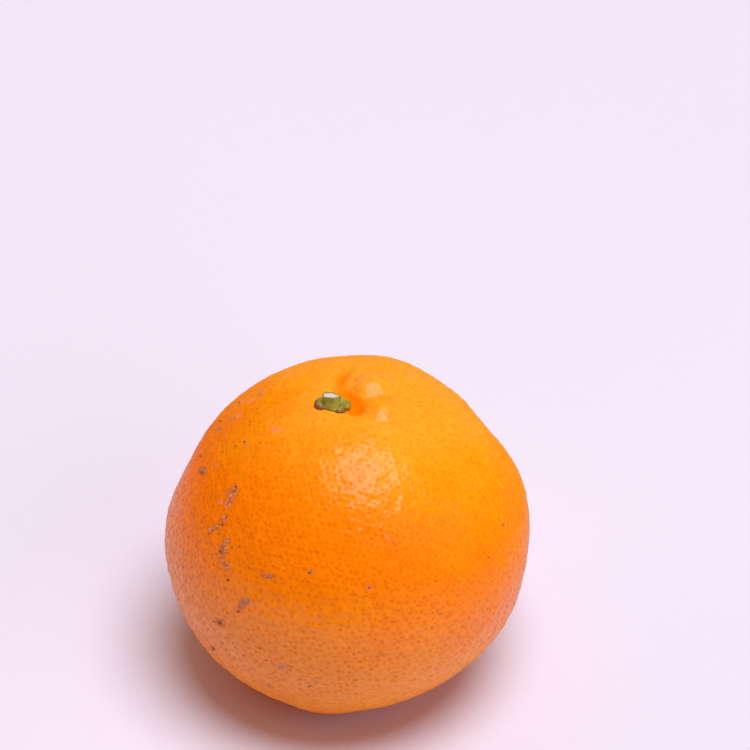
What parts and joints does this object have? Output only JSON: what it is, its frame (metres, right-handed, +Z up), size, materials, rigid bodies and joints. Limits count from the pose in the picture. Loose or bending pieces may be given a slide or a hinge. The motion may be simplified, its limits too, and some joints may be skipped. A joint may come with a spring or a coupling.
{
  "type": "harumi mandarin",
  "caption": "Ripe loose-skinned mandarin, as picked, with folds round its stem end, a green calyx and a short clipped stem; it rests on its base.",
  "frame": {"origin": "on the surface that the fruit rests on, below the middle of its outline", "axes": "+Z up from the flattened stylar end, -Y the front of the fruit, +X its right; the stem leans to the left and front"},
  "size_m": [0.0718, 0.072, 0.0681],
  "materials": {
    "rind": "satin",
    "calyx": "matte",
    "stem_bark": "matte"
  },
  "bodies": {
    "root": {"fruit": "rind", "calyx": "calyx", "stem_stub": "stem_bark"}
  },
  "joints": []
}
